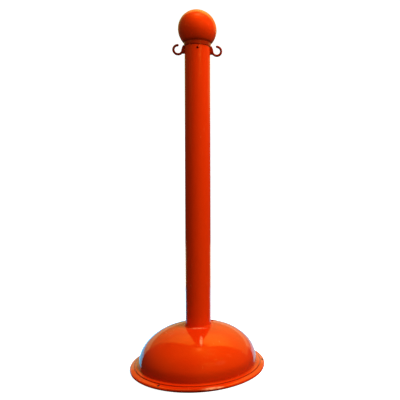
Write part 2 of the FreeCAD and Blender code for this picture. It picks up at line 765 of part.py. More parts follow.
def make_ball_cap():
    """Hollow ball on a short neck, with a slotted spigot that drops into the tube."""
    body = new_body("ball_cap")
    spigot_bottom = "(tube_top - spigot_length)"
    fillet_z = f"({BALL_Z} - {FILLET_DROP})"
    fillet_end = (f"({FILLET_X} * {FILLET_SHARE})", f"({BALL_Z} - {FILLET_DROP} * {FILLET_SHARE})")
    corners = [
        (SPIGOT_INNER, spigot_bottom),
        (SPIGOT_OUTER, spigot_bottom),
        (SPIGOT_OUTER, "tube_top"),
        ("(neck_radius - neck_edge)", "tube_top", "neck_edge", "left"),
        ("neck_radius", "(tube_top + neck_edge)"),
        ("neck_radius", fillet_z, "neck_fillet", "right"),
        (*fillet_end, "ball_radius", "left"),
        ("ball_radius", BALL_Z, "ball_radius", "left"),
        ("0", "total_height"),
        ("0", "(total_height - ball_wall)", BALL_INNER, "right"),
        (BALL_INNER, BALL_Z, BALL_INNER, "right"),
        (SPIGOT_INNER, f"({BALL_Z} - sqrt({BALL_INNER}^2 - {SPIGOT_INNER}^2))"),
    ]
    turned(body, "ball_and_spigot", corners)

    sketch = sketch_on(body, "XZ_Plane", "slot_outline")
    crest = "(tube_top - slot_below_neck)"
    shoulder = "(tube_top - slot_below_neck - slot_half_width)"
    outline(
        sketch,
        [
            ("-slot_half_width", f"({spigot_bottom} - 1)"),
            ("slot_half_width", f"({spigot_bottom} - 1)"),
            ("slot_half_width", shoulder, "slot_half_width", "left"),
            ("0", crest, "slot_half_width", "left"),
            ("-slot_half_width", shoulder),
        ],
    )
    slots = pocketed(body, "slots", sketch)
    repeated(body, "slot_pairs", [slots], "2", QUARTER_TURN)


def make_hook(label, turn):
    """C-hook on a saddle that hugs the tube, held by a split peg along the body's X axis."""
    body = new_body(label)
    saddle = sketch_on(body, "YZ_Plane", "saddle_outline", "saddle_root")
    upper = "(saddle_above - saddle_half_width)"
    lower = "(saddle_half_width - saddle_below)"
    outline(
        saddle,
        [
            ("saddle_half_width", lower),
            ("saddle_half_width", upper, "saddle_half_width", "left"),
            ("0", "saddle_above", "saddle_half_width", "left"),
            ("-saddle_half_width", upper),
            ("-saddle_half_width", lower, "saddle_half_width", "left"),
            ("0", "-saddle_below", "saddle_half_width", "left"),
        ],
    )
    padded(body, "saddle", saddle, "saddle_face - saddle_root")
    lean = sketch_on(body, "XZ_Plane", "lean_outline")
    outline(
        lean,
        [
            ("saddle_face", "saddle_lean"),
            ("(saddle_face + 1)", "saddle_lean"),
            ("(saddle_face + 1)", "(saddle_above + 1)"),
            ("saddle_top_face", "(saddle_above + 1)"),
            ("saddle_top_face", "saddle_above"),
        ],
    )
    leaning = pocketed(body, "lean", lean)
    dress_end(body, "saddle_rounding", leaning, 1, "Fillet", "Radius", "saddle_edge")

    before = solid_of(body).Volume
    reach = "(saddle_above + 1)"
    beside_tube = "(tube_radius + fit_gap)"
    beside_neck = "(neck_radius + fit_gap)"
    neck_foot = "(tube_top - hook_height - fit_gap)"
    hollow = [
        ("0", f"-{reach}"),
        (beside_tube, f"-{reach}"),
        (beside_tube, neck_foot),
        (beside_neck, neck_foot),
        (beside_neck, reach),
        ("0", reach),
    ]
    turned(body, "saddle_hollow", hollow, kind="PartDesign::Groove")
    must_shrink(body, before, "saddle_hollow")

    rod = sketch_on(body, "XY_Plane", "rod_outline", "ring_rise")
    upright_axis(rod, "ring_centre")
    circle(rod, "(ring_centre - ring_radius)", "0", "rod_radius")
    ring = body.newObject("PartDesign::Revolution", "ring")
    ring.Profile = (rod, [""])
    ring.ReferenceAxis = (rod, ["Axis0"])
    ring.Reversed = True
    bind(ring, {"Angle": "ring_sweep"})

    tip = body.newObject("PartDesign::AdditiveSphere", "tip")
    tip.AttachmentSupport = [(origin_feature(body, "XY_Plane"), "")]
    tip.MapMode = "FlatFace"
    bind(
        tip,
        {
            "Radius": "tip_radius",
            "AttachmentOffset.Base.x": "ring_centre - ring_radius * cos(ring_sweep)",
            "AttachmentOffset.Base.z": "ring_rise - ring_radius * sin(ring_sweep)",
        },
    )

    peg_sketch = sketch_on(body, "YZ_Plane", "peg_outline", "peg_end")
    circle(peg_sketch, "0", "0", "peg_radius")
    peg = padded(body, "peg", peg_sketch, "peg_root - peg_end")
    dress_end(body, "peg_nose", peg, -1, "Chamfer", "Size", "peg_nose")
    slit = sketch_on(body, "XY_Plane", "slit_outline")
    rectangle(slit, "(peg_end - 1)", "-slit_half_width", "slit_end", "slit_half_width")
    pocketed(body, "slit", slit)
    place(body, z="hook_height", turn=turn)


# ---------------------------------------------------------------- checking and writing


def check_document():
    doc.recompute()
    for item in doc.Objects:
        if "Invalid" in item.State or "Error" in item.State:
            raise RuntimeError(f"{item.Label} failed: {item.State}")


def write_parts():
    os.makedirs("parts", exist_ok=True)
    bodies = [item for item in doc.Objects if item.TypeId == "PartDesign::Body"]
    for body in bodies:
        if body.Shape.isNull() or not body.Shape.isValid():
            raise RuntimeError(f"{body.Label} has no valid shape")
    for body in bodies:
        body.Shape.exportStep(f"parts/{body.Label}.step")
        litres = body.Shape.Volume / 1e6
        print(f"{body.Label}: {len(body.Shape.Solids)} solid(s), {litres:.4f} litres")


fill_sheet()
make_base_dome()
make_base_pan()
make_ballast()
make_floor_ring()
make_fill_plug()
make_fill_seal()
make_flange_screws()
make_post_tube()
make_foot_plug()
make_foot_nut()
make_foot_bolt()
make_washers()
make_ball_cap()
make_hook("hook_right", "0")
make_hook("hook_left", "180")
check_document()
write_parts()
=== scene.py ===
"""Looks of a ball-top chain stanchion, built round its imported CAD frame.

Metres throughout, in the CAD's own frame: the post's axis is Z, the floor is z = 0 and the hooks lie on +X and -X.
"""

import math

import bmesh
import bpy
from mathutils import Matrix, Vector


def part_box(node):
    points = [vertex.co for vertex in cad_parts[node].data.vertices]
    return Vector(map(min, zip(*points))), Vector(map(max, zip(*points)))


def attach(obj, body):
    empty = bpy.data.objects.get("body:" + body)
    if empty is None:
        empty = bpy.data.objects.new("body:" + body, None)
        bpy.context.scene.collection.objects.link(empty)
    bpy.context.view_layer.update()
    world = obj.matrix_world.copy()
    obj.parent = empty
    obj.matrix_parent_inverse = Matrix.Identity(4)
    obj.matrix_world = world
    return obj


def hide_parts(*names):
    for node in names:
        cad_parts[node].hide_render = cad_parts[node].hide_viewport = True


MM = 0.001
TURN = 2 * math.pi

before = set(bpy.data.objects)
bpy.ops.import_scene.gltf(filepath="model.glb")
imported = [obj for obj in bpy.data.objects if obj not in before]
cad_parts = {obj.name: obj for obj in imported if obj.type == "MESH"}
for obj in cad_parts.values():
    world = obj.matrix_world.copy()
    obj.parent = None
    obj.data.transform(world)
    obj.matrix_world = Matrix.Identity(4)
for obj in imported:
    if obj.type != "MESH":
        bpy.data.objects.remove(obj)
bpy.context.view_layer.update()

# ---------------------------------------------------------------- sizes, read from the frame

TUBE_LOW, TUBE_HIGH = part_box("post_tube")
CAP_LOW, CAP_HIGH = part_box("ball_cap")
DOME_LOW, DOME_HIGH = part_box("base_dome")
HOOK_LOW, HOOK_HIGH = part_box("hook_right")
RING_LOW, RING_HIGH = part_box("floor_ring")
SCREW_LOW, SCREW_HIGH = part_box("flange_screws")
SEAT_LOW, SEAT_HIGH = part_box("flange_screws")

TUBE_R = TUBE_HIGH.x
TUBE_WALL = 3.0 * MM
TUBE_TOP = TUBE_HIGH.z
TUBE_EDGE = 0.8 * MM
BALL_R = CAP_HIGH.x
BALL_Z = CAP_HIGH.z - BALL_R
CAP_WALL = 2.5 * MM
NECK_R = 40.2 * MM
NECK_EDGE = 1.2 * MM
NECK_FILLET = 3.0 * MM
SPIGOT_R = TUBE_R - TUBE_WALL - 0.3 * MM
SPIGOT_BOTTOM = CAP_LOW.z
SLOT_HALF = 4.8 * MM
SLOT_CREST = TUBE_TOP - 6.0 * MM
HOOK_Z = 949.5 * MM
HOOK_HOLE_R = 3.5 * MM

SCREW_CIRCLE = 194 * MM
SCREW_ANGLES = [math.radians(angle) for angle in (-3, 117, 237)]
SCREW_HEAD = 1.9 * MM
SCREW_SEAT = SCREW_HIGH.z - SCREW_HEAD
RIM_R = DOME_HIGH.x
RIM_HALF = 4.3 * MM
RIM_Z = DOME_LOW.z + RIM_HALF
FLANGE_TOP = 15.0 * MM
FOOT_R = 176.0 * MM
SHOULDER = 90.5 * MM
SHOULDER_ANGLE = math.radians(45.3)
CROWN = 154.0 * MM
BASE_WALL = 3.0 * MM
SOCKET_R = TUBE_R + 0.3 * MM
BEAD_HALF = 1.6 * MM
BEAD_TOP = DOME_HIGH.z - BEAD_HALF
STEP_R = 187.0 * MM
STEP_Z = FLANGE_TOP - 0.4 * MM
GROOVE_Z = 11.9 * MM
GROOVE_WIDTH = 1.5 * MM
BAND_TOP = 13.0 * MM

ROUND_STEPS = 6  # edges along each rounded corner of an outline


# ---------------------------------------------------------------- outlines


def arc(centre, radius, start, end, steps):
    """Points along an arc, both ends included. Angles in radians from the outward direction."""
    points = []
    for step in range(steps + 1):
        angle = start + (end - start) * step / steps
        points.append((centre[0] + radius * math.cos(angle), centre[1] + radius * math.sin(angle)))
    return points


def rounded(corners):
    """A line of (x, y, radius) corners, each rounded by its radius, as plain points."""
    points = []
    for number, (x, y, radius) in enumerate(corners):
        here = Vector((x, y))
        if radius == 0 or number in (0, len(corners) - 1):
            points.append((x, y))
            continue
        before = (Vector(corners[number - 1][:2]) - here).normalized()
        after = (Vector(corners[number + 1][:2]) - here).normalized()
        half = before.angle(after) / 2
        centre = here + (before + after).normalized() * (radius / math.sin(half))
        start = here + before * (radius / math.tan(half)) - centre
        end = here + after * (radius / math.tan(half)) - centre
        sweep = start.angle_signed(end)
        for step in range(ROUND_STEPS + 1):
            turned = start.copy()
            turned.rotate(Matrix.Rotation(-sweep * step / ROUND_STEPS, 2))
            points.append(tuple(centre + turned))
    return points


# ---------------------------------------------------------------- meshes


def new_object(name, bm, material, sharp_degrees=40):
    """Makes a smooth-shaded object of a bmesh, with creases only at its true corners."""
    bmesh.ops.remove_doubles(bm, verts=bm.verts, dist=1e-6)
    bmesh.ops.recalc_face_normals(bm, faces=bm.faces)
    sharp = math.radians(sharp_degrees)
    for face in bm.faces:
        face.smooth = True
    for edge in bm.edges:
        edge.smooth = len(edge.link_faces) == 2 and edge.calc_face_angle(0) < sharp
    mesh = bpy.data.meshes.new(name)
    bm.to_mesh(mesh)
    bm.free()
    mesh.materials.append(material)
    piece = bpy.data.objects.new(name, mesh)
    bpy.context.scene.collection.objects.link(piece)
    return piece


def ring_points(radius, height, segments):
    return [
        Vector((radius * math.cos(TURN * n / segments), radius * math.sin(TURN * n / segments), height))
        for n in range(segments)
    ]


def lathe(bm, outline, segments, closed=True):
    """Turns an outline of (radius, height) points about Z. Points on the axis become poles."""
    rings = []
    for radius, height in outline:
        if radius < 1e-7:
            rings.append([bm.verts.new((0, 0, height))])
        else:
            rings.append([bm.verts.new(point) for point in ring_points(radius, height, segments)])
    pairs = list(zip(rings, rings[1:]))
    if closed:
        pairs.append((rings[-1], rings[0]))
    for low, high in pairs:
        for n in range(segments):
            following = (n + 1) % segments
            corners = [low[n % len(low)], low[following % len(low)], high[following % len(high)], high[n % len(high)]]
            unique = list(dict.fromkeys(corners))
            if len(unique) > 2:
                bm.faces.new(unique)
    return rings


# ---------------------------------------------------------------- materials


def node(tree, kind, inputs=None, **settings):
    made = tree.nodes.new(kind)
    for name, value in settings.items():
        setattr(made, name, value)
    for name, value in (inputs or {}).items():
        made.inputs[name].default_value = value
    return made


def noise_field(tree, where, scale, detail=3.0, stretch=(1, 1, 1), roughness=0.5):
    """A noise texture on the object's own coordinates, stretched along its axes."""
    mapping = node(tree, "ShaderNodeMapping", {"Scale": stretch})
    tree.links.new(where.outputs["Object"], mapping.inputs["Vector"])
    field = node(tree, "ShaderNodeTexNoise", {"Scale": scale, "Detail": detail, "Roughness": roughness})
    tree.links.new(mapping.outputs["Vector"], field.inputs["Vector"])
    return field.outputs["Fac"]


def band(tree, value, low, high, out_low=0.0, out_high=1.0):
    """Maps a range of a value smoothly on to another range, and holds it outside."""
    mapped = node(
        tree,
        "ShaderNodeMapRange",
        {"From Min": low, "From Max": high, "To Min": out_low, "To Max": out_high},
        interpolation_type="SMOOTHSTEP",
    )
    tree.links.new(value, mapped.inputs["Value"])
    return mapped.outputs["Result"]


def calc(tree, operation, first, second=0.0):
    made = node(tree, "ShaderNodeMath", operation=operation)
    for socket, value in zip(made.inputs, (first, second)):
        if isinstance(value, (int, float)):
            socket.default_value = value
        else:
            tree.links.new(value, socket)
    return made.outputs[0]


def mix_colour(tree, share, first, second):
    made = node(tree, "ShaderNodeMix", data_type="RGBA")
    for name, value in (("Factor", share), ("A", first), ("B", second)):
        socket = next(item for item in made.inputs if item.name == name and item.type in ("VALUE", "RGBA")
                      and (item.type == "RGBA") == (name != "Factor"))
        if isinstance(value, tuple):
            socket.default_value = (*value, 1)
        elif isinstance(value, (int, float)):
            socket.default_value = value
        else:
            tree.links.new(value, socket)
    return next(item for item in made.outputs if item.type == "RGBA")


def new_material(name, colour, roughness, metallic=0.0, ior=1.5, coat=0.0):
    """A node material with the numbers that are the same all over set on the shader itself."""
    material = bpy.data.materials.new(name)
    material.use_nodes = True
    material.diffuse_color = (*colour, 1)
    tree = material.node_tree
    shader = next(item for item in tree.nodes if item.type == "BSDF_PRINCIPLED")
    shader.inputs["Base Color"].default_value = (*colour, 1)
    shader.inputs["Roughness"].default_value = roughness
    shader.inputs["Metallic"].default_value = metallic
    shader.inputs["IOR"].default_value = ior
    shader.inputs["Coat Weight"].default_value = coat
    shader.inputs["Coat Roughness"].default_value = 0.08
    where = node(tree, "ShaderNodeTexCoord")
    return material, tree, shader, where


def add_bump(tree, shader, height, distance, strength=1.0):
    bump = node(tree, "ShaderNodeBump", {"Strength": strength, "Distance": distance})
    tree.links.new(height, bump.inputs["Height"])
    tree.links.new(bump.outputs["Normal"], shader.inputs["Normal"])


ORANGE = (0.80, 0.028, 0.0004)
ORANGE_PALE = (0.83, 0.033, 0.0005)
ORANGE_DEEP = (0.76, 0.024, 0.0003)
# Pale colour of the scuffs and of the painted highlights.
SCUFF_AND_HIGHLIGHT = (0.95, 0.30, 0.12)
# Dark colour for painted shade in creases, under the lip and on the neck; it also darkens the plastic round the screw
# seats.
PAINTED_DARK = (0.16, 0.004, 0.001)
SPECULAR_TINT = (1.0, 0.7, 0.12, 1)


def blot(tree, where, spot, size):
    """1 at a spot on the object, falling to 0 at the edge of an ellipsoid round it."""
    off = node(tree, "ShaderNodeVectorMath", operation="SUBTRACT")
    tree.links.new(where.outputs["Object"], off.inputs[0])
    off.inputs[1].default_value = spot
    share = node(tree, "ShaderNodeVectorMath", operation="DIVIDE")
    tree.links.new(off.outputs["Vector"], share.inputs[0])
    share.inputs[1].default_value = size
    reach = node(tree, "ShaderNodeVectorMath", operation="LENGTH")
    tree.links.new(share.outputs["Vector"], reach.inputs[0])
    return band(tree, reach.outputs["Value"], 0.35, 1.0, 1.0, 0.0)


def ring_mark(tree, where, radius, half_width):
    """1 along a circle round the object's own Z axis, falling to 0 beside it."""
    level = node(tree, "ShaderNodeVectorMath", operation="MULTIPLY")
    tree.links.new(where.outputs["Object"], level.inputs[0])
    level.inputs[1].default_value = (1, 1, 0)
    reach = node(tree, "ShaderNodeVectorMath", operation="LENGTH")
    tree.links.new(level.outputs["Vector"], reach.inputs[0])
    off = calc(tree, "ABSOLUTE", calc(tree, "SUBTRACT", reach.outputs["Value"], radius))
    return band(tree, off, 0.0, half_width, 1.0, 0.0)


def orange_plastic(
    name,
    roughness=0.16,
    streak=(1, 1, 1),
    ripple=0.00006,
    scuffed=0.5,
    deep=ORANGE_DEEP,
    pale=ORANGE_PALE,
    scuffs_and_highlights=(),
    shade_rings=(),
    dark_spots=(),
):
    """Glossy moulded polyethylene: slow colour drift, a fine skin, faint scuffs that are paler and duller; pale spots,
    used for scuffs and for painted highlights; darker rings and spots, used for painted shade and round screw seats.
    """
    material, tree, shader, where = new_material(name, ORANGE, roughness, ior=1.52)
    shader.inputs["Specular Tint"].default_value = SPECULAR_TINT
    drift = noise_field(tree, where, 5.0, stretch=streak)
    colour = mix_colour(tree, band(tree, drift, 0.3, 0.7), deep, pale)
    scratch = noise_field(tree, where, 140.0, detail=4.0, stretch=(1.0, 0.6, 0.16))
    patches = noise_field(tree, where, 22.0, detail=2.0)
    scuff_and_highlight_mask = calc(tree, "MULTIPLY", band(tree, scratch, 0.64, 0.72), band(tree, patches, 0.52, 0.68))
    scuff_and_highlight_mask = calc(tree, "MULTIPLY", scuff_and_highlight_mask, scuffed)
    # Pale spots on top of the scuffs: some are scuffs, some are painted highlights.
    for spot, size, strength in scuffs_and_highlights:
        pale_spot = calc(tree, "MULTIPLY", blot(tree, where, spot, size), band(tree, scratch, 0.3, 0.6, 0.5, 1.0))
        scuff_and_highlight_mask = calc(tree, "MAXIMUM", scuff_and_highlight_mask, calc(tree, "MULTIPLY", pale_spot, strength))
    # Darker rings and spots: painted shade, and darkening round the screw seats.
    dark = [(ring_mark(tree, where, radius, half_width), strength) for radius, half_width, strength in shade_rings]
    dark += [(blot(tree, where, spot, size), strength) for spot, size, strength in dark_spots]
    for mask, strength in dark:
        colour = mix_colour(tree, calc(tree, "MULTIPLY", mask, strength), colour, PAINTED_DARK)
    tree.links.new(mix_colour(tree, scuff_and_highlight_mask, colour, SCUFF_AND_HIGHLIGHT), shader.inputs["Base Color"])
    haze = band(tree, noise_field(tree, where, 16.0, detail=5.0), 0.35, 0.7, roughness * 0.8, roughness * 1.35)
    dulled = calc(tree, "MULTIPLY_ADD", scuff_and_highlight_mask, 0.35)
    tree.links.new(haze, dulled.node.inputs[2])
    tree.links.new(dulled, shader.inputs["Roughness"])
    skin = noise_field(tree, where, 260.0, detail=2.0)
    slow = noise_field(tree, where, 28.0, detail=2.0, stretch=streak)
    height = calc(tree, "MULTIPLY_ADD", skin, 0.12)
    tree.links.new(slow, height.node.inputs[2])
    add_bump(tree, shader, height, ripple)
    return material


def plain_material(name, colour, other, roughness, metallic=0.0, scale=60.0, bump=0.00004):
    """A two-tone procedural material for rubber, dark plastic, sand and steel."""
    material, tree, shader, where = new_material(name, colour, roughness, metallic)
    field = noise_field(tree, where, scale, detail=5.0)
    tree.links.new(mix_colour(tree, band(tree, field, 0.35, 0.65), colour, other), shader.inputs["Base Color"])
    rough = band(tree, noise_field(tree, where, scale * 2.5), 0.3, 0.7, roughness * 0.85, min(1.0, roughness * 1.2))
    tree.links.new(rough, shader.inputs["Roughness"])
    add_bump(tree, shader, noise_field(tree, where, scale * 6, detail=3.0), bump)
    return material


# Pale spots on the dome, in order: a pale streak on the crown just below the post; a faint scuff low on the front; a
# painted highlight along the bead at the post's foot; a painted highlight along the front of the lip.
DOME_SCUFFS_AND_HIGHLIGHTS = (
    ((0.008, -0.105, 0.107), (0.006, 0.030, 0.016), 0.75),
    ((0.060, -0.150, 0.060), (0.020, 0.030, 0.008), 0.05),
    ((0.0, -0.0405, 0.1235), (0.034, 0.005, 0.004), 0.6),
    ((0.045, -0.197, 0.0095), (0.045, 0.014, 0.003), 1.0),
)
# Painted shade: dark rings at the dome's foot and in the flange's groove.
DOME_SHADE_RINGS = ((0.176, 0.006, 0.35), (0.1878, 0.0026, 0.6))
# Darker round each screw seat.
DOME_DARK_SPOTS = [
    ((SCREW_CIRCLE * math.cos(angle), SCREW_CIRCLE * math.sin(angle), SCREW_SEAT), (0.0062, 0.0062, 0.0060), 0.9)
    for angle in SCREW_ANGLES
]
# Painted shade on the lower part of the front lip, where it curls under.
DOME_DARK_SPOTS.append(((-0.01, -0.2, 0.0015), (0.14, 0.06, 0.012), 0.85))
dome_plastic = orange_plastic(
    "orange_dome",
    0.085,
    ripple=0.00010,
    scuffed=0.3,
    scuffs_and_highlights=DOME_SCUFFS_AND_HIGHLIGHTS,
    shade_rings=DOME_SHADE_RINGS,
    dark_spots=DOME_DARK_SPOTS,
)
post_plastic = orange_plastic("orange_post", 0.15, streak=(1, 1, 0.08), scuffed=0.25)
# Painted shade: a dark band round the neck, for the ball's shadow on it.
NECK_SHADE = (((0.0, 0.0, 0.966), (0.5, 0.5, 0.014), 0.7),)
ball_plastic = orange_plastic("orange_ball", 0.11, scuffed=0.15, dark_spots=NECK_SHADE)
# Painted shade: the hooks are the same orange plastic, given darker colours to stand in for the shade on them.
HOOK_SHADED_DEEP = (0.20, 0.004, 0.0004)
HOOK_SHADED_PALE = (0.32, 0.008, 0.0006)
hook_plastic = orange_plastic("orange_hook", 0.25, ripple=0.00003, scuffed=0.2, deep=HOOK_SHADED_DEEP, pale=HOOK_SHADED_PALE)
pan_plastic = orange_plastic("orange_pan", 0.45, scuffed=0.6)
rubber = plain_material("black_rubber", (0.012, 0.012, 0.013), (0.03, 0.028, 0.027), 0.6, scale=90)
dark_plastic = plain_material("dark_plastic", (0.016, 0.016, 0.017), (0.03, 0.03, 0.03), 0.4, scale=50)
sand = plain_material("sand", (0.42, 0.30, 0.18), (0.62, 0.50, 0.34), 0.95, scale=700, bump=0.0004)
screw_steel = plain_material("dark_steel", (0.012, 0.010, 0.010), (0.03, 0.025, 0.022), 0.7, metallic=0.2, scale=400)
zinc = plain_material("zinc_steel", (0.55, 0.56, 0.58), (0.66, 0.66, 0.64), 0.32, metallic=1.0, scale=220)


def dress(node_name, material):
    """Gives a carried-over CAD node its procedural material."""
    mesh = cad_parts[node_name].data
    mesh.materials.clear()
    mesh.materials.append(material)


# ---------------------------------------------------------------- base


def dome_outline(inset):
    """The dome's two arcs, from the crown out to the foot, on a surface inset from the outside."""
    shoulder_centre = (FOOT_R - SHOULDER, FLANGE_TOP)
    crown_centre = (
        shoulder_centre[0] - (CROWN - SHOULDER) * math.cos(SHOULDER_ANGLE),
        shoulder_centre[1] - (CROWN - SHOULDER) * math.sin(SHOULDER_ANGLE),
    )
    upper = arc(crown_centre, CROWN - inset, math.radians(90), SHOULDER_ANGLE, 28)
    lower = arc(shoulder_centre, SHOULDER - inset, SHOULDER_ANGLE, 0.0, 36)
    return upper + lower[1:]


def make_dome():
    outer = [point for point in dome_outline(0) if point[0] > SOCKET_R + 2 * BEAD_HALF + 0.5 * MM]
    inner = [point for point in dome_outline(BASE_WALL) if point[0] > SOCKET_R + BASE_WALL]
    crown_z = outer[0][1]
    bead = arc((SOCKET_R + BEAD_HALF, BEAD_TOP), BEAD_HALF, math.pi, 0.0, 16)
    bead_foot = rounded(
        [
            (SOCKET_R + 2 * BEAD_HALF, BEAD_TOP - 0.2 * MM, 0),
            (SOCKET_R + 2 * BEAD_HALF, crown_z, 0.5 * MM),
            (*outer[0], 0),
        ]
    )
    rim_x = RIM_R - RIM_HALF
    flange = rounded(
        [
            (FOOT_R, FLANGE_TOP + 3 * MM, 0),
            (FOOT_R, FLANGE_TOP, 0.8 * MM),
            (STEP_R, STEP_Z, 0.7 * MM),
            (STEP_R, GROOVE_Z, 0.3 * MM),
            (STEP_R + GROOVE_WIDTH, GROOVE_Z, 0.3 * MM),
            (STEP_R + GROOVE_WIDTH, BAND_TOP, 0.5 * MM),
            (rim_x, RIM_Z + RIM_HALF, 0),
        ]
    )
    rim = arc((rim_x, RIM_Z), RIM_HALF, math.radians(82), math.radians(-90), 24)
    outline = (
        [(5.4 * MM, 21 * MM), (SOCKET_R, 21 * MM)]
        + bead
        + bead_foot
        + [point for point in outer[1:] if point[1] > FLANGE_TOP + 4 * MM]
        + flange[:-1]
        + rim
        + [(rim_x, 8.1 * MM), (185 * MM, 8.1 * MM), (185 * MM, 12 * MM), (FOOT_R - BASE_WALL, 12 * MM)]
        + list(reversed(inner))
        + [(SOCKET_R + BASE_WALL, inner[0][1]), (SOCKET_R + BASE_WALL, 17 * MM), (5.4 * MM, 17 * MM)]
    )
    bm = bmesh.new()
    lathe(bm, outline, 288)
    dome = new_object("dome_shell", bm, dome_plastic, 30)
    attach(dome, "stand")
    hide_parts("base_dome")


def make_floor_ring():
    low = RING_LOW.z
    high = RING_HIGH.z
    inner = 184 * MM
    outer = RING_HIGH.x
    grooves = []
    for n in range(3):
        centre = inner + 2.75 * MM * (n + 1)
        grooves.append((centre - 0.5 * MM, low, 0.1 * MM))
        grooves.append((centre, low + 0.7 * MM, 0.15 * MM))
        grooves.append((centre + 0.5 * MM, low, 0.1 * MM))
    outline = rounded(
        [
            (inner, 2 * MM, 0),
            (inner, low, 0.9 * MM),
            *grooves,
            (outer, low, 0.9 * MM),
            (outer, 3 * MM, 0.2 * MM),
            (192 * MM, 3 * MM, 0),
            (192 * MM, high, 0.3 * MM),
            (188 * MM, high, 0.3 * MM),
            (188 * MM, 3 * MM, 0),
            (inner, 3 * MM, 0.2 * MM),
            (inner, 2 * MM, 0),
        ]
    )[:-1]
    bm = bmesh.new()
    lathe(bm, outline, 240)
    ring = new_object("rubber_ring", bm, rubber, 30)
    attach(ring, "stand")
    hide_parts("floor_ring")


def cut(bm, cutter):
    """What is left of one closed mesh when another is cut out of it."""
    drafts = []
    for shape in (bm, cutter):
        bmesh.ops.recalc_face_normals(shape, faces=shape.faces)
        mesh = bpy.data.meshes.new("cutting")
        shape.to_mesh(mesh)
        shape.free()
        drafts.append(bpy.data.objects.new("cutting", mesh))
        bpy.context.scene.collection.objects.link(drafts[-1])
    body, tool = drafts
    boolean = body.modifiers.new("cut", "BOOLEAN")
    boolean.operation = "DIFFERENCE"
    boolean.solver = "EXACT"
    boolean.object = tool
    graph = bpy.context.evaluated_depsgraph_get()
    left = bpy.data.meshes.new_from_object(body.evaluated_get(graph))
    for draft in drafts:
        bpy.data.objects.remove(draft)
    return left


def make_flange_screws():
    """Three tapping screws with domed heads, each with a cross recess."""
    head_r = 3.1 * MM
    side = 0.7 * MM
    shank_r = 1.5 * MM
    point = 1.6 * MM
    rise = SCREW_HEAD - side
    crown_r = (head_r**2 + rise**2) / (2 * rise)
    crown_centre = (0, SCREW_SEAT + SCREW_HEAD - crown_r)
    edge_angle = math.atan2(crown_r - rise, head_r)
    outline = [(0, SCREW_LOW.z), (shank_r, SCREW_LOW.z + point), (shank_r, SCREW_SEAT), (head_r, SCREW_SEAT)]
    outline += arc(crown_centre, crown_r, edge_angle, math.pi / 2, 10)[:-1] + [(0, SCREW_SEAT + SCREW_HEAD)]
    screw = bmesh.new()
    lathe(screw, outline, 48, closed=False)

    thin = 0.45 * MM
    reach = 1.8 * MM
    quarter = [(reach, -thin), (reach, thin), (thin, thin)]
    corners = []
    for turn in range(4):
        for x, y in quarter:
            corners.append(Matrix.Rotation(turn * math.pi / 2, 2) @ Vector((x, y)))
    cross = bmesh.new()
    ends = []
    for z in (SCREW_SEAT + 0.8 * MM, SCREW_SEAT + 2 * SCREW_HEAD):
        ends.append([cross.verts.new((*corner, z)) for corner in corners])
        cross.faces.new(ends[-1])
    for n in range(len(corners)):
        cross.faces.new((ends[0][n - 1], ends[0][n], ends[1][n], ends[1][n - 1]))

    one = cut(screw, cross)
    bm = bmesh.new()
    for angle in SCREW_ANGLES:
        placed = one.copy()
        placed.transform(Matrix.Rotation(angle, 4, "Z") @ Matrix.Translation((SCREW_CIRCLE, 0, 0)))
        bm.from_mesh(placed)
        bpy.data.meshes.remove(placed)
    screws = new_object("tapping_screws", bm, screw_steel, 30)
    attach(screws, "stand")
    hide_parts("flange_screws")


# ---------------------------------------------------------------- post


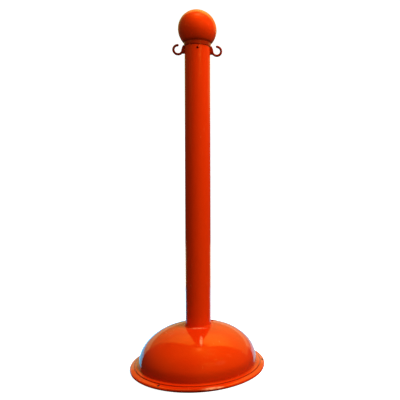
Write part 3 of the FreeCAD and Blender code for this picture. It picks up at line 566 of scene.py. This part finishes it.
def make_post():
    """Tube with chamfered top and four hook holes, each in a patch of quads that runs from a square to a circle."""
    columns = 192
    arc_step = TURN * TUBE_R / columns
    half_patch = 5
    patch_rows = [HOOK_Z + arc_step * n for n in range(-half_patch, half_patch + 1)]
    inner_r = TUBE_R - TUBE_WALL
    below = [TUBE_LOW.z + (patch_rows[0] - TUBE_LOW.z) * n / 30 for n in range(30)]
    chamfer = TUBE_EDGE
    bm = bmesh.new()

    def skin(radius, top):
        rows = below + patch_rows + [top]
        return [[bm.verts.new(point) for point in ring_points(radius, height, columns)] for height in rows]

    outer = skin(TUBE_R, TUBE_TOP - chamfer)
    inner = skin(inner_r, TUBE_TOP)
    first_row = len(below)
    last_row = first_row + 2 * half_patch

    def in_patch(row, column):
        if not first_row <= row < last_row:
            return False
        return any((column - centre + half_patch) % columns < 2 * half_patch for centre in hole_columns)

    hole_columns = [columns * n // 4 for n in range(4)]
    for grid in (outer, inner):
        for row in range(len(grid) - 1):
            for column in range(columns):
                if not in_patch(row, column):
                    following = (column + 1) % columns
                    bm.faces.new([grid[row][column], grid[row][following], grid[row + 1][following], grid[row + 1][column]])
    lip = [bm.verts.new(point) for point in ring_points(TUBE_R - chamfer, TUBE_TOP, columns)]
    for column in range(columns):
        following = (column + 1) % columns
        bm.faces.new([outer[-1][column], outer[-1][following], lip[following], lip[column]])
        bm.faces.new([lip[column], lip[following], inner[-1][following], inner[-1][column]])
        bm.faces.new([outer[0][column], outer[0][following], inner[0][following], inner[0][column]])

    def patch_edge(grid, centre):
        """The vertices round a patch, once round from its lower left corner."""
        left = centre - half_patch
        right = centre + half_patch
        walk = [(first_row, column) for column in range(left, right)]
        walk += [(row, right) for row in range(first_row, last_row)]
        walk += [(last_row, column) for column in range(right, left, -1)]
        walk += [(row, left) for row in range(last_row, first_row, -1)]
        return [grid[row][column % columns] for row, column in walk]

    def hole_rings(grid, radius, centre, rim_radii):
        """Rings of quads from a patch's square edge in to the hole."""
        middle = TURN * centre / columns
        edge = patch_edge(grid, centre)
        flat = []
        for vert in edge:
            angle = math.atan2(vert.co.y, vert.co.x) - middle
            angle = (angle + math.pi) % TURN - math.pi
            flat.append(Vector((angle * radius, vert.co.z - HOOK_Z)))
        before = edge
        for share, hole_radius, depth in rim_radii:
            ring = []
            for corner in flat:
                target = corner.normalized() * hole_radius
                spot = corner.lerp(target, share)
                angle = middle + spot.x / radius
                reach = radius - depth
                ring.append(bm.verts.new((reach * math.cos(angle), reach * math.sin(angle), HOOK_Z + spot.y)))
            for n in range(len(ring)):
                following = (n + 1) % len(ring)
                bm.faces.new([before[n], before[following], ring[following], ring[n]])
            before = ring
        return before

    edge_round = 0.4 * MM
    for centre in hole_columns:
        wide = HOOK_HOLE_R + edge_round
        outer_rings = [(0.4, wide, 0), (0.75, wide, 0), (1.0, wide, 0)]
        outer_rings += [(1.0, HOOK_HOLE_R + edge_round * 0.3, edge_round * 0.3), (1.0, HOOK_HOLE_R, edge_round)]
        mouth = hole_rings(outer, TUBE_R, centre, outer_rings)
        back = hole_rings(inner, inner_r, centre, [(0.5, HOOK_HOLE_R, 0), (1.0, HOOK_HOLE_R, 0)])
        for n in range(len(mouth)):
            following = (n + 1) % len(mouth)
            bm.faces.new([mouth[n], mouth[following], back[following], back[n]])
    post = new_object("post_skin", bm, post_plastic, 35)
    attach(post, "stand")
    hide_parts("post_tube")


# ---------------------------------------------------------------- ball cap


def make_cap():
    """Ball and neck as one turned wall, with a slotted spigot under it."""
    segments = 180
    fillet_x = NECK_R + NECK_FILLET
    drop = math.sqrt((BALL_R + NECK_FILLET) ** 2 - fillet_x**2)
    start = -math.atan2(drop, fillet_x)
    hollow_r = BALL_R - CAP_WALL
    spigot_inner = SPIGOT_R - CAP_WALL
    hollow_start = -math.acos(spigot_inner / hollow_r)
    neck_top = BALL_Z - drop
    outline = (
        arc((NECK_R - NECK_EDGE, TUBE_TOP + NECK_EDGE), NECK_EDGE, math.radians(-90), 0, 8)
        + arc((fillet_x, neck_top), NECK_FILLET, math.pi, math.pi + start, 8)
        + arc((0, BALL_Z), BALL_R, start, math.radians(90), 64)[1:]
    )
    outline[-1] = (0, BALL_Z + BALL_R)
    hollow = arc((0, BALL_Z), hollow_r, math.radians(90), hollow_start, 48)
    hollow[0] = (0, BALL_Z + hollow_r)
    outline += hollow + [(spigot_inner, TUBE_TOP)]
    bm = bmesh.new()
    lathe(bm, outline, segments)

    slot_columns = round(math.asin(SLOT_HALF / SPIGOT_R) / (TURN / segments))
    shoulder = SLOT_CREST - SLOT_HALF
    rows = [SPIGOT_BOTTOM, SPIGOT_BOTTOM + 12 * MM, SPIGOT_BOTTOM + 24 * MM, shoulder, SLOT_CREST + 1 * MM, TUBE_TOP + 2 * MM]
    slot_row = 3

    def slot_offset(column):
        """Columns from the middle of the nearest slot."""
        quarter = segments // 4
        return (column + quarter // 2) % quarter - quarter // 2

    walls = []
    for radius in (SPIGOT_R, spigot_inner):
        grid = [[bm.verts.new(point) for point in ring_points(radius, height, segments)] for height in rows]
        for column in range(segments):
            offset = slot_offset(column)
            if abs(offset) < slot_columns:
                share = offset / slot_columns
                grid[slot_row][column].co.z += SLOT_HALF * math.sqrt(1 - share * share)
        walls.append(grid)
    for grid in walls:
        for row in range(len(rows) - 1):
            for column in range(segments):
                inside = -slot_columns <= slot_offset(column) < slot_columns
                if row < slot_row and inside:
                    continue
                following = (column + 1) % segments
                bm.faces.new([grid[row][column], grid[row][following], grid[row + 1][following], grid[row + 1][column]])
    outer, inner = walls
    for column in range(segments):
        following = (column + 1) % segments
        inside = -slot_columns <= slot_offset(column) < slot_columns
        edge_row = slot_row if inside else 0
        bm.faces.new([outer[edge_row][column], outer[edge_row][following], inner[edge_row][following], inner[edge_row][column]])
        bm.faces.new([outer[-1][column], outer[-1][following], inner[-1][following], inner[-1][column]])
        if abs(slot_offset(column)) == slot_columns:
            for row in range(slot_row):
                bm.faces.new([outer[row][column], outer[row + 1][column], inner[row + 1][column], inner[row][column]])
    cap = new_object("ball_top", bm, ball_plastic, 35)
    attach(cap, "ball_cap")
    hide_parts("ball_cap")


# ---------------------------------------------------------------- hooks

RING_X = 57.5 * MM
RING_Z = HOOK_Z + 1.5 * MM
RING_RADIUS = 13.4 * MM
ROD = 3.65 * MM
TIP = 4.0 * MM
SWEEP = 264
SADDLE_FACE = 47.5 * MM
SADDLE_TOP_FACE = 42.6 * MM
SADDLE_LEAN = HOOK_Z + 2 * MM
SADDLE_LOW = HOOK_Z - 10 * MM
SADDLE_HIGH = HOOK_Z + 16 * MM
SADDLE_HALF = 6.5 * MM
SADDLE_EDGE = 1.6 * MM
PEG = 3.2 * MM


def tube_along(bm, points, radii, sides=24):
    """A closed round tube through points, square to its path, with flat ends."""
    rings = []
    for n, point in enumerate(points):
        ahead = points[min(n + 1, len(points) - 1)]
        behind = points[max(n - 1, 0)]
        along = (ahead - behind).normalized()
        side = along.cross(Vector((0, 1, 0))).normalized()
        up = side.cross(along)
        rings.append(
            [
                bm.verts.new(point + (side * math.cos(TURN * k / sides) + up * math.sin(TURN * k / sides)) * radii[n])
                for k in range(sides)
            ]
        )
    for low, high in zip(rings, rings[1:]):
        for k in range(sides):
            following = (k + 1) % sides
            bm.faces.new([low[k], low[following], high[following], high[k]])
    bm.faces.new(rings[0])
    bm.faces.new(rings[-1])


def hook_mesh():
    """The right hook as overlapping solids, ready to be fused."""
    bm = bmesh.new()
    path = []
    radii = []
    steps = 72
    for n in range(steps + 1):
        angle = math.pi + math.radians(SWEEP) * n / steps
        path.append(Vector((RING_X + RING_RADIUS * math.cos(angle), 0, RING_Z + RING_RADIUS * math.sin(angle))))
        radii.append(ROD)
    tube_along(bm, path, radii)
    bmesh.ops.create_uvsphere(bm, u_segments=28, v_segments=18, radius=TIP, matrix=Matrix.Translation(path[-1]))
    return bm


def hook_saddle(bm):
    """Saddle pad: an upright rounded bar whose inner face follows the tube and clears the cap's neck."""
    half = SADDLE_HALF
    low = SADDLE_LOW
    high = SADDLE_HIGH
    steps = 40
    across = 16
    beside_tube = TUBE_R + 0.3 * MM
    beside_neck = NECK_R + 0.3 * MM
    neck_foot = TUBE_TOP - 0.3 * MM
    rows = []
    for n in range(steps + 1):
        z = low + (high - low) * n / steps
        from_end = min(z - low, high - z)
        width = half if from_end >= half else math.sqrt(max(half**2 - (half - from_end) ** 2, 0))
        width = max(width, 0.15 * MM)
        rows.append((z, width))
    grids = []
    for side in ("back", "face"):
        grid = []
        for z, width in rows:
            line = []
            for k in range(across + 1):
                y = width * (2 * k / across - 1)
                if side == "back":
                    reach = beside_neck if z > neck_foot else beside_tube
                    x = math.sqrt(reach**2 - y**2)
                else:
                    inset = max(0.0, (abs(y) - (width - SADDLE_EDGE)) / SADDLE_EDGE)
                    end = max(0.0, 1 - min(z - low, high - z) / SADDLE_EDGE)
                    turned = min(1.0, math.hypot(inset, end))
                    climb = max(0.0, z - SADDLE_LEAN) / (high - SADDLE_LEAN)
                    flat = SADDLE_FACE + (SADDLE_TOP_FACE - SADDLE_FACE) * climb
                    x = flat - SADDLE_EDGE * (1 - math.sqrt(max(0.0, 1 - turned**2)))
                line.append(bm.verts.new((x, y, z)))
            grid.append(line)
        grids.append(grid)
    back, face = grids
    for grid in grids:
        for r in range(len(rows) - 1):
            for k in range(across):
                bm.faces.new([grid[r][k], grid[r][k + 1], grid[r + 1][k + 1], grid[r + 1][k]])
    for r in range(len(rows) - 1):
        for k in (0, across):
            bm.faces.new([back[r][k], back[r + 1][k], face[r + 1][k], face[r][k]])
    for r in (0, len(rows) - 1):
        for k in range(across):
            bm.faces.new([back[r][k], back[r][k + 1], face[r][k + 1], face[r][k]])


def hook_peg(bm):
    """Split peg that springs into the hook hole."""
    for side in (-1, 1):
        outline = []
        radius = PEG
        slit = 0.7 * MM
        steps = 20
        start = math.asin(slit / radius)
        for n in range(steps + 1):
            angle = start + (math.pi - 2 * start) * n / steps
            outline.append((radius * math.cos(angle), radius * math.sin(angle) * side))
        stations = [(HOOK_LOW.x, 0.75), (HOOK_LOW.x + 0.8 * MM, 1.0), (36 * MM, 1.0)]
        rings = []
        for x, scale in stations:
            rings.append(
                [bm.verts.new((x, max(abs(b) * scale, slit) * side, HOOK_Z + a * scale)) for a, b in outline]
            )
        for low, high in zip(rings, rings[1:]):
            for k in range(len(outline)):
                following = (k + 1) % len(outline)
                bm.faces.new([low[k], low[following], high[following], high[k]])
        bm.faces.new(rings[0])
        bm.faces.new(rings[-1])
    root = [Vector((34.5 * MM, 0, HOOK_Z)), Vector((41.5 * MM, 0, HOOK_Z))]
    tube_along(bm, root, [PEG, PEG])


def fuse(bm, voxel, smoothing):
    """Fuses overlapping solids into one moulded skin with small fillets where they meet."""
    bmesh.ops.recalc_face_normals(bm, faces=bm.faces)
    mesh = bpy.data.meshes.new("fusing")
    bm.to_mesh(mesh)
    bm.free()
    draft = bpy.data.objects.new("fusing", mesh)
    bpy.context.scene.collection.objects.link(draft)
    remesh = draft.modifiers.new("fuse", "REMESH")
    remesh.mode = "VOXEL"
    remesh.voxel_size = voxel
    remesh.use_smooth_shade = True
    smooth = draft.modifiers.new("soften", "SMOOTH")
    smooth.factor = 0.5
    smooth.iterations = smoothing
    thin = draft.modifiers.new("thin", "DECIMATE")
    thin.ratio = 0.4
    graph = bpy.context.evaluated_depsgraph_get()
    fused = bpy.data.meshes.new_from_object(draft.evaluated_get(graph))
    bpy.data.objects.remove(draft)
    result = bmesh.new()
    result.from_mesh(fused)
    bpy.data.meshes.remove(fused)
    return result


def make_hooks():
    for side, turn in (("right", 0.0), ("left", math.pi)):
        bm = hook_mesh()
        hook_saddle(bm)
        hook_peg(bm)
        fused = fuse(bm, 0.4 * MM, 3)
        fused.transform(Matrix.Rotation(turn, 4, "Z"))
        hook = new_object(f"chain_hook_{side}", fused, hook_plastic, 60)
        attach(hook, f"hook_{side}")
        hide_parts(f"hook_{side}")


# ---------------------------------------------------------------- stage, light and camera


def make_stage():
    """A pale round studio floor that sweeps up into a wall. The object's gloss doesn't see it."""
    material, tree, shader, where = new_material("studio_floor", (0.86, 0.86, 0.86), 0.9)
    shader.inputs["Emission Color"].default_value = (1, 1, 1, 1)
    shader.inputs["Emission Strength"].default_value = 0.97
    outline = [(0, 0), (1.0, 0), (2.0, 0), (3.2, 0)]
    outline += arc((3.2, 1.6), 1.6, math.radians(-90), 0, 20)[1:] + [(4.8, 4.0)]
    bm = bmesh.new()
    lathe(bm, outline, 96, closed=False)
    floor = new_object("studio_floor", bm, material, 60)
    floor.visible_glossy = False
    floor.visible_diffuse = False
    floor.visible_shadow = False


def band_linear(tree, value, low, high):
    mapped = node(tree, "ShaderNodeMapRange", {"From Min": low, "From Max": high})
    tree.links.new(value, mapped.inputs["Value"])
    return mapped.outputs["Result"]


def ramp(tree, value, stops):
    """Colours by a value from -1 to 1. Each stop is the sine of an elevation and a radiance."""
    made = node(tree, "ShaderNodeValToRGB")
    elements = made.color_ramp.elements
    while len(elements) > 1:
        elements.remove(elements[-1])
    for number, (sine, colour) in enumerate(stops):
        element = elements[0] if number == 0 else elements.new((sine + 1) / 2)
        element.position = (sine + 1) / 2
        element.color = (*colour, 1)
    tree.links.new(band_linear(tree, value, -1, 1), made.inputs["Fac"])
    return made.outputs["Color"]


# What the object's gloss sees, by the sine of the elevation: a backdrop behind it, and the room elsewhere.
BACKDROP_SIDES = (math.radians(-45), math.radians(68))  # from +Y towards +X
BACKDROP_ENDS = (math.radians(9), math.radians(77))
BACKDROP = (
    (0.15, (0.50, 0.42, 0.16)),
    (0.35, (0.60, 0.52, 0.12)),
    (0.64, (0.85, 0.76, 0.16)),
    (0.87, (1.90, 1.70, 0.30)),
)
ROOM = (
    (-0.6, (0.10, 0.06, 0.03)),
    (0.0, (0.10, 0.08, 0.05)),
    (0.4, (0.22, 0.19, 0.08)),
    (0.8, (0.25, 0.22, 0.04)),
    (0.98, (0.50, 0.44, 0.07)),
)
AMBIENT = (0.03, 0.028, 0.025)


def make_sky():
    """Plain white for the camera, a dim even light for the object, and a backdrop for its gloss."""
    world = bpy.data.worlds.new("studio")
    world.use_nodes = True
    bpy.context.scene.world = world
    tree = world.node_tree
    background = next(item for item in tree.nodes if item.type == "BACKGROUND")
    output = next(item for item in tree.nodes if item.type == "OUTPUT_WORLD")
    where = node(tree, "ShaderNodeTexCoord")
    split = node(tree, "ShaderNodeSeparateXYZ")
    tree.links.new(where.outputs["Generated"], split.inputs["Vector"])
    azimuth = calc(tree, "ARCTAN2", split.outputs["X"], split.outputs["Y"])
    height = split.outputs["Z"]
    soft = math.radians(3)
    left, right = BACKDROP_SIDES
    bottom, top = BACKDROP_ENDS
    sheet = calc(
        tree,
        "MULTIPLY",
        calc(
            tree,
            "MULTIPLY",
            band(tree, azimuth, left - soft, left + soft),
            band(tree, azimuth, right - soft, right + soft, 1.0, 0.0),
        ),
        calc(
            tree,
            "MULTIPLY",
            band(tree, height, math.sin(bottom - soft), math.sin(bottom + soft)),
            band(tree, height, math.sin(top - soft), math.sin(top + soft), 1.0, 0.0),
        ),
    )
    seen = mix_colour(tree, sheet, ramp(tree, height, ROOM), ramp(tree, height, BACKDROP))
    brighter_right = band(tree, azimuth, -0.6, 0.6, 0.8, 1.35)
    path = node(tree, "ShaderNodeLightPath")
    glossy = path.outputs["Is Glossy Ray"]
    tree.links.new(mix_colour(tree, glossy, AMBIENT, seen), background.inputs["Color"])
    tree.links.new(brighter_right, background.inputs["Strength"])
    white = node(tree, "ShaderNodeBackground", {"Color": (1, 1, 1, 1), "Strength": 1.0})
    mix = node(tree, "ShaderNodeMixShader")
    tree.links.new(path.outputs["Is Camera Ray"], mix.inputs[0])
    tree.links.new(background.outputs[0], mix.inputs[1])
    tree.links.new(white.outputs[0], mix.inputs[2])
    tree.links.new(mix.outputs[0], output.inputs["Surface"])


def add_lamp(name, spot, aim, size, power, colour=(1.0, 0.97, 0.93)):
    """A soft light that the gloss doesn't mirror."""
    data = bpy.data.lights.new(name, "AREA")
    data.shape = "RECTANGLE"
    data.size, data.size_y = size
    data.energy = power
    data.color = colour
    lamp = bpy.data.objects.new(name, data)
    lamp.location = spot
    lamp.rotation_euler = (Vector(aim) - Vector(spot)).to_track_quat("-Z", "Y").to_euler()
    lamp.visible_glossy = False
    lamp.visible_camera = False
    bpy.context.scene.collection.objects.link(lamp)
    return lamp


def add_mirrored(name, spot, aim, size, power, colour):
    """A panel that only the gloss mirrors."""
    lamp = add_lamp(name, spot, aim, size, power, colour)
    lamp.visible_glossy = True
    lamp.visible_diffuse = False


def make_light():
    make_sky()
    middle = (0, 0, 0.5)
    wide = (0.8, 0.8)
    add_lamp("key", (1.76, -1.38, 2.76), middle, wide, 48)
    add_lamp("front", (1.0, -2.3, 1.9), middle, wide, 23.5)
    add_lamp("high", (0.9, -0.4, 2.7), middle, wide, 31)
    add_lamp("right", (2.58, -0.46, 2.34), middle, wide, 12)
    add_lamp("left", (-1.9, -1.0, 1.3), middle, wide, 6.5)
    add_lamp("left_high", (-0.59, -0.1, 2.72), middle, wide, 4)
    add_lamp("back", (-0.8, 2.4, 1.6), middle, wide, 14)

    # These show only in the gloss: a soft light over the ball, and low screens behind the base,
    # bluish on the left and whiter on the right, that the dome's rim mirrors.
    ball = (0, 0, 1.02)
    add_mirrored("over_ball", (0.03, -0.3, 1.7), ball, (0.6, 0.5), 0.4, (1.0, 0.8, 0.15))
    add_mirrored("ball_spot", (0.03, -0.2, 1.7), ball, (0.2, 0.2), 0.2, (1.0, 0.9, 0.6))
    for side, x, low, high in (("left", -0.38, (0.03, 0.56, 1.0), 1.6), ("right", 0.40, (0.25, 0.75, 1.0), 1.1)):
        add_mirrored(f"screen_{side}", (x, 0.66, -0.12), (0, 0, -0.12), (0.7, 0.38), high, low)
        add_mirrored(f"screen_{side}_top", (x, 0.66, 0.18), (0, 0, 0.1), (0.7, 0.2), 0.26, (1.0, 0.9, 0.5))


def make_camera():
    """The photograph's viewpoint: eye level at mid-height of the post, turned a little to its right."""
    distance, eye, yaw, pitch = 1.417, 0.535, math.radians(7.833), math.radians(1.321)
    focal, centre_x, frame_width = 464.8, 261.8, 400.0
    data = bpy.data.cameras.new("camera")
    data.sensor_width = 36.0
    data.lens = focal / frame_width * data.sensor_width
    data.shift_x = -(centre_x - frame_width / 2) / frame_width
    data.clip_start = 0.01
    camera = bpy.data.objects.new("camera", data)
    camera.location = (0, -distance, eye)
    forward = Vector((math.sin(yaw) * math.cos(pitch), math.cos(yaw) * math.cos(pitch), -math.sin(pitch)))
    camera.rotation_mode = "QUATERNION"
    camera.rotation_quaternion = forward.to_track_quat("-Z", "Y")
    bpy.context.scene.collection.objects.link(camera)
    bpy.context.scene.camera = camera


make_dome()
make_floor_ring()
make_flange_screws()
make_post()
make_cap()
make_hooks()
dress("base_pan", pan_plastic)
dress("sand_ballast", sand)
dress("fill_plug", dark_plastic)
dress("fill_seal", rubber)
dress("foot_plug", dark_plastic)
for part in ("foot_nut", "foot_bolt", "flat_washer", "spring_washer"):
    dress(part, zinc)
make_stage()
make_light()
make_camera()
bpy.context.scene.view_settings.view_transform = "Standard"
